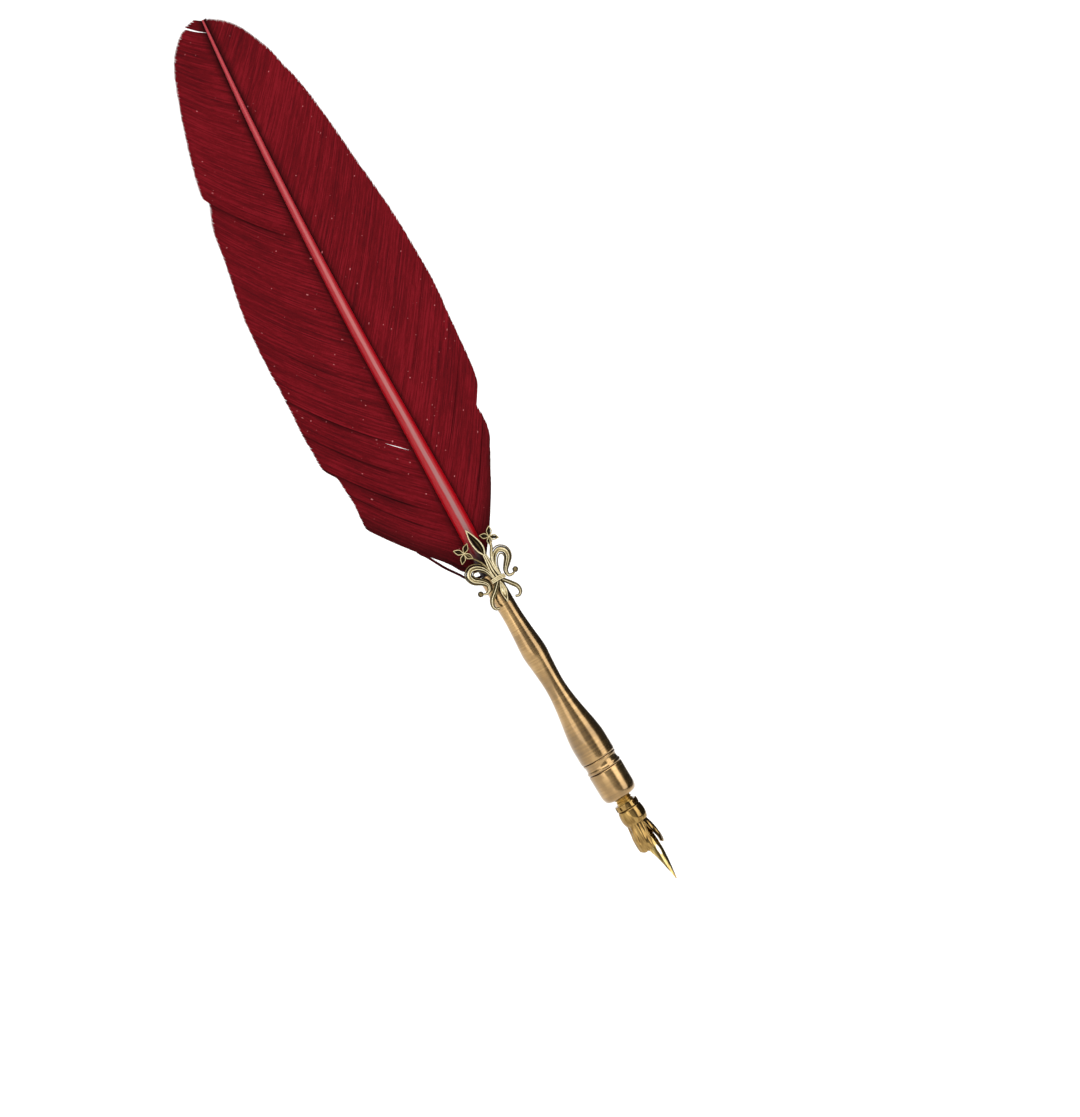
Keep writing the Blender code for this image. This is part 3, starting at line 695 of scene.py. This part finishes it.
def shadeOn(root, share, web):
    # how dark the shadow falls on a barb: under each fold's overlap, and at the web's foot
    v = vane
    shade = v["footShade"] * max(0, 1 - (root - web["first"]) / v["footShadeRoots"])
    for place, opening, push, _ in web["creases"]:
        clear = place - root + opening * share ** 2
        if place > root:
            strength = min(1, push / 1.2) * min(1, max(0, (share - 0.12) * 4))
            shade = max(shade, strength * math.exp(-max(0, clear) / v["foldShade"]))
    return shade


def strandBody(points, half):
    # lens-shaped strand: four points round each station, closed at both ends
    thick, tilt = Vector((0, vane["halfThick"], 0)), Vector((0, vane["tilt"], 0))
    rings = []
    last = len(points) - 1
    for k, point in enumerate(points):
        way = points[min(k + 1, last)] - points[max(k - 1, 0)]
        across = way.cross(Vector((0, 1, 0))).normalized() * half * (0.3 if k == last else 1)
        rings.append([point + across + tilt, point - thick, point - across - tilt, point + thick])
    return rings


def growBarbs(side, web):
    # (root, points, tone, half width) of every strand, from the foot to the tip
    v = vane
    strands = []
    drift = 0.0
    roots = np.concatenate([np.arange(web["first"], v["footTop"], v["footSpacing"]),
                            np.arange(v["footTop"], v["lastRoot"], v["spacing"])])
    for root in roots:
        drift = 0.9 * drift + random.uniform(-0.3, 0.3)
        points = barbPath(root, side, web, random.uniform(-1, 0.6) + drift * 0.5)
        tone = min(1, max(0, 0.5 + 0.12 * drift + random.uniform(-0.35, 0.35)))
        strands.append((root, points, tone, v["width"] / 2))
    if web is leftVane:
        stray = [Vector((x, y, height)) for x, height, y in smoothPath(strayBarb["path"], 16)]
        strands.append((web["first"], stray, strayBarb["tone"], strayBarb["half"]))
    return strands


def makeVane(name, node, side, web):
    verts, faces, tones, shades, maps = [], [], [], [], []
    for root, points, tone, half in growBarbs(side, web):
        rings = strandBody(points, half)
        base = len(verts)
        for k, ring in enumerate(rings):
            verts += ring
            out = (points[k] - points[0]).length
            tones += [tone] * 4
            # painted shade, darkest beside the shaft, under the folds and at the web's foot
            shades += [max(1 - out / vane["rootShade"], shadeOn(root, k / len(rings), web))] * 4
            maps += [(out, root)] * 4
        for k in range(len(rings) - 1):
            for e in range(4):
                a, b = base + 4 * k + e, base + 4 * k + (e + 1) % 4
                faces.append((a, b, b + 4, a + 4))
        faces.append((base + 3, base + 2, base + 1, base))
        end = len(verts) - 4
        faces.append((end, end + 1, end + 2, end + 3))
    mesh = bpy.data.meshes.new(name)
    mesh.from_pydata(verts, [], faces)
    obj = bpy.data.objects.new(name, mesh)
    bpy.context.scene.collection.objects.link(obj)
    storeAttribute(obj, "barbTone", tones)
    storeAttribute(obj, "rootShade", shades)
    layer = mesh.uv_layers.new(name="barbMap")
    for loop in mesh.loops:
        layer.data[loop.index].uv = maps[loop.vertex_index]
    bpy.context.view_layer.objects.active = obj
    bpy.ops.object.mode_set(mode="EDIT")
    bpy.ops.mesh.select_all(action="SELECT")
    bpy.ops.mesh.normals_make_consistent(inside=False)
    bpy.ops.object.mode_set(mode="OBJECT")
    seatPiece(obj, "handle", node, barbDye, smooth=60)


makeShaft()
makeVane("left_barbs", "vane_left", -1, leftVane)
makeVane("right_barbs", "vane_right", 1, rightVane)
print("feather made")

# The lily is made of strands laid side by side on a gently wrapped face before the barrel.
# Its points are (right, height), with radii at a strand's start, middle and end.
lily = {
    "face": -3.95, "wrap": 0.025, "ball": 0.82, "balls": [(-4.4, 95.7), (7.35, 96.7)],
    "leafRims": [[(2.1, 104.2), (0.95, 106.6), (0.6, 109.8), (1.15, 113.0)],
                 [(2.1, 104.2), (2.95, 106.7), (2.45, 109.8), (1.15, 113.0)]],
    "leafBlade": [(2.1, 104.4), (1.95, 107.5), (1.25, 112.4)],
    "leafVein": [(2.1, 104.4), (1.95, 107.5), (1.3, 111.8)],
    "stem": [(2.15, 104.6), (2.0, 102.0), (1.85, 99.8), (2.1, 97.0)],
    "starStems": [([(-2.3, 107.5), (-1.0, 105.1), (0.3, 103.0), (0.9, 100.8), (1.3, 97.6)],
                   (0.28, 0.34, 0.4)),
                  ([(5.6, 107.9), (5.0, 105.8), (3.7, 103.4), (2.95, 100.8), (2.8, 97.6)],
                   (0.3, 0.5, 0.45))],
    "stars": [((-2.6, 107.7), [(-0.4, 109.7), (-4.7, 109.8), (-4.5, 105.4), (-1.1, 105.3)]),
              ((5.8, 108.2), [(7.2, 110.7), (3.6, 109.8), (7.9, 106.6), (4.8, 106.1)])],
    "petalBulge": 0.68,
    "plumes": [[(1.0, 97.6), (0.2, 100.7), (-1.4, 102.4), (-3.3, 102.8), (-4.6, 101.6), (-4.1, 99.8),
                (-2.5, 98.5), (-1.3, 97.0), (-1.7, 95.5), (-3.0, 95.0), (-4.0, 95.5)],
               [(3.0, 97.6), (3.2, 100.6), (4.3, 102.9), (6.1, 103.8), (7.5, 102.7), (7.5, 101.0),
                (6.3, 99.5), (5.0, 98.0), (4.9, 96.4), (6.0, 96.0), (7.0, 96.4)]],
    "leftCurl": [(1.5, 96.4), (-0.5, 94.5), (-2.4, 92.9), (-3.15, 91.3), (-2.9, 90.1), (-1.8, 89.8)],
    "rightCurl": [(2.9, 96.2), (4.5, 94.0), (5.5, 92.4), (5.5, 90.9), (4.6, 90.1), (3.6, 90.4)],
    "pendant": [(2.1, 96.4), (1.6, 93.6), (1.0, 90.4)],
    "cords": (-0.42, 0.0, 0.42)}


def faceOf(right, height, lift=0.0):
    return Vector((right, lily["face"] - lift + lily["wrap"] * right ** 2, height))


def makeLily():
    data = bpy.data.curves.new("lily_strands", "CURVE")
    data.dimensions = "3D"
    data.bevel_depth = 1.0
    data.bevel_resolution = 3
    data.use_fill_caps = True

    def strand(points, radii, shift=None, lift=0.0, count=36):
        # one ridge; shift(share) slides it sideways off the path
        path = smoothPath(points, count)
        spline = data.splines.new("POLY")
        spline.points.add(count - 1)
        for k, (right, height) in enumerate(path):
            share = k / (count - 1)
            ahead, behind = path[min(k + 1, count - 1)], path[max(k - 1, 0)]
            way = Vector((ahead[0] - behind[0], ahead[1] - behind[1])).normalized()
            slide = shift(share) if shift else 0
            place = faceOf(right + way.y * slide, height - way.x * slide, lift)
            spline.points[k].co = (*place, 1)
            spline.points[k].radius = through([(0, radii[0]), (0.5, radii[1]), (1, radii[2])], share)

    def bundle(points, half, ridges, radius, lift=0.1):
        # parallel ridges over a dark backing; half is the bundle's half width, as radii are
        widths = [(0, half[0]), (0.4, half[1]), (1, half[2])]
        strand(points, [max(0.25, h * 0.75) for h in half], lift=-0.45)
        for ridge in range(ridges):
            place = 2 * ridge / (ridges - 1) - 1
            strand(points, (radius * 0.8, radius, radius * 0.7),
                   lambda share, place=place: place * through(widths, share), lift + 0.25 * (1 - place ** 2))

    for rim in lily["leafRims"]:  # leaf bud: two raised rims, a sunk blade and a vein
        strand(rim, (0.26, 0.24, 0.2), lift=0.3)
    strand(lily["leafBlade"], (0.5, 0.8, 0.25), lift=-0.62)
    strand(lily["leafVein"], (0.12, 0.14, 0.08), lift=0.08)
    bundle(lily["stem"], (0.35, 0.6, 0.8), 3, 0.3, 0.3)
    for stem, radii in lily["starStems"]:
        strand(stem, radii)
    for centre, tips in lily["stars"]:  # four petals, each a raised outline round a hollow
        for tip in tips:
            middle = ((centre[0] + tip[0]) / 2, (centre[1] + tip[1]) / 2)
            way = Vector((tip[0] - centre[0], tip[1] - centre[1])).normalized()
            for side in (-1, 1):
                swing = side * lily["petalBulge"]
                bulge = (middle[0] + way.y * swing, middle[1] - way.x * swing)
                strand([centre, bulge, tip], (0.17, 0.17, 0.15), lift=0.25, count=12)
            strand([centre, middle, tip], (0.3, 0.42, 0.12), lift=-0.27, count=10)
        strand([(centre[0] - 0.3, centre[1]), centre, (centre[0] + 0.3, centre[1])], (0.2, 0.3, 0.2),
               lift=0.3, count=6)
    for plume in lily["plumes"]:  # fluted scrolls that end in a ball
        bundle(plume, (0.3, 1.15, 0.12), 4, 0.19)
    bundle(lily["leftCurl"], (0.5, 0.55, 0.2), 3, 0.22)
    bundle(lily["rightCurl"], (0.4, 0.45, 0.2), 3, 0.2)
    strand(lily["pendant"], (0.7, 1.1, 0.4), lift=-0.5)
    for side in (-1, 1):
        strand([(2.1, 96.2), (1.6 + 0.75 * side, 93.4), (1.0, 90.2)], (0.2, 0.22, 0.2), lift=0.25)
    for row in lily["cords"]:  # three cords tied round the gathered stems
        strand([(-0.05, 97.1 + row), (2.0, 97.15 + row), (4.1, 96.85 + row)], (0.22, 0.26, 0.22),
               lift=0.75)
    strand([(0.1, 97.1), (2.0, 97.1), (3.95, 96.9)], (0.6, 0.8, 0.6), lift=-0.1)
    curve = bpy.data.objects.new("lily", data)
    bpy.context.scene.collection.objects.link(curve)
    curve.select_set(True)
    bpy.context.view_layer.objects.active = curve
    bpy.ops.object.convert(target="MESH")
    obj = bpy.context.object
    for right, height in lily["balls"]:
        bpy.ops.mesh.primitive_ico_sphere_add(subdivisions=3, radius=lily["ball"],
                                              location=faceOf(right, height))
        ball = bpy.context.object
        ball.select_set(True)
        obj.select_set(True)
        bpy.context.view_layer.objects.active = obj
        bpy.ops.object.join()
    obj.name = "cast_lily"
    # patina left dark in the hollows and rubbed bright where it stands proud, times a painted
    # highlight where a face turns to the front, so the sides take painted shade; the balls are kept darker
    patinaAndLightShares = []
    for vertex in obj.data.vertices:
        proud = lily["face"] + lily["wrap"] * vertex.co.x ** 2 - vertex.co.y
        # the facing share is painted light: front faces bright, sides in painted shade
        high = min(1, max(0, (proud - 0.05) / 0.4)) * max(0, -vertex.normal.y) * 0.8
        onBall = any(math.dist((vertex.co.x, vertex.co.z), ball) < 1 for ball in lily["balls"])
        patinaAndLightShares.append(high * (0.55 if onBall else 1))
    storeAttribute(obj, "patinaAndPaintedLight", patinaAndLightShares)
    seatPiece(obj, "handle", "lily_ornament", castBrass)


makeLily()
print("ornament made")

view = {"azimuth": 15.0, "elevation": 13.5, "distance": 1.05, "lens": 122.0,
        "right": 0.02, "up": -0.0615}  # metres from the frame's origin to the view's middle
azimuth, elevation = math.radians(view["azimuth"]), math.radians(view["elevation"])
rightWay = Vector((math.cos(azimuth), math.sin(azimuth), 0))
backWay = Vector((math.sin(azimuth) * math.cos(elevation), -math.cos(azimuth) * math.cos(elevation),
                  math.sin(elevation)))
upWay = backWay.cross(rightWay)
bpy.ops.object.camera_add()
camera = bpy.context.object
camera.data.lens = view["lens"]
camera.data.sensor_width = 36
camera.data.clip_start = 0.01
camera.matrix_world = Matrix.Translation(backWay * view["distance"] - rightWay * view["right"]
                                         - upWay * view["up"]) @ Matrix(
    (rightWay, upWay, backWay)).transposed().to_4x4()
bpy.context.scene.camera = camera

floorDrop = 0.034  # metres that the nib's point hangs above the floor, as in a rest
bpy.ops.mesh.primitive_circle_add(vertices=64, radius=12, fill_type="NGON",
                                  location=(0, 0, cadBox[0][2] - floorDrop))
floor = bpy.context.object
floor.name = "floor"
floorMaterial, _, floorShader = newMaterial("matt white board")
floorShader.inputs["Base Color"].default_value = hexColor("#f8f8f7")
floorShader.inputs["Roughness"].default_value = 0.7
floor.data.materials.append(floorMaterial)

world = bpy.data.worlds.new("studio")
bpy.context.scene.world = world
world.use_nodes = True
# softboxes stand parallel to the pen: angle round it from the camera (minus is left), distance,
# width, length and power; the room is bright before and behind the pen and dark at its right
softboxes = {"key": (-32, 1.2, 0.68, 1.1, 5.4), "strip": (51, 1.05, 0.62, 1.1, 6.3)}
viewLean = math.radians(31)  # the pen's lean as the camera sees it
sideWay = rightWay * math.cos(viewLean) + upWay * math.sin(viewLean)
penWay = upWay * math.cos(viewLean) - rightWay * math.sin(viewLean)
sky = addNode(world.node_tree, "ShaderNodeTexCoord")
toSide = addNode(world.node_tree, "ShaderNodeVectorMath", {"operation": "DOT_PRODUCT"}, {
    0: sky.outputs["Generated"], 1: sideWay / 2})
toSide = addNode(world.node_tree, "ShaderNodeMath", {"operation": "ADD"}, {0: toSide.outputs["Value"]})
wall = colorRamp(world.node_tree, toSide.outputs[0], [(0.1, 0.26), (0.5, 0.62), (0.8, 0.05)])
rays = addNode(world.node_tree, "ShaderNodeLightPath")  # the backdrop itself is seen as white board
seen = addNode(world.node_tree, "ShaderNodeMix", {"data_type": "RGBA"}, {
    "Factor": rays.outputs["Is Camera Ray"], 6: wall, 7: hexColor("#ffffff")})
world.node_tree.links.new(seen.outputs[2], world.node_tree.nodes["Background"].inputs["Color"])
bpy.ops.object.light_add(type="SUN", rotation=(0.15, -0.2, 0))
overhead = bpy.context.object
overhead.data.energy = 3.3
overhead.data.angle = math.radians(80)
for name, (angle, distance, wide, tall, power) in softboxes.items():
    outWay = backWay * math.cos(math.radians(angle)) + sideWay * math.sin(math.radians(angle))
    bpy.ops.object.light_add(type="AREA")
    light = bpy.context.object
    light.name = name
    light.data.shape = "RECTANGLE"
    light.data.size, light.data.size_y = wide, tall
    light.data.energy = power
    light.matrix_world = Matrix.Translation(outWay * distance) @ Matrix(
        (penWay.cross(outWay), penWay, outWay)).transposed().to_4x4()
bpy.context.scene.view_settings.view_transform = "Standard"
print("camera and light set")
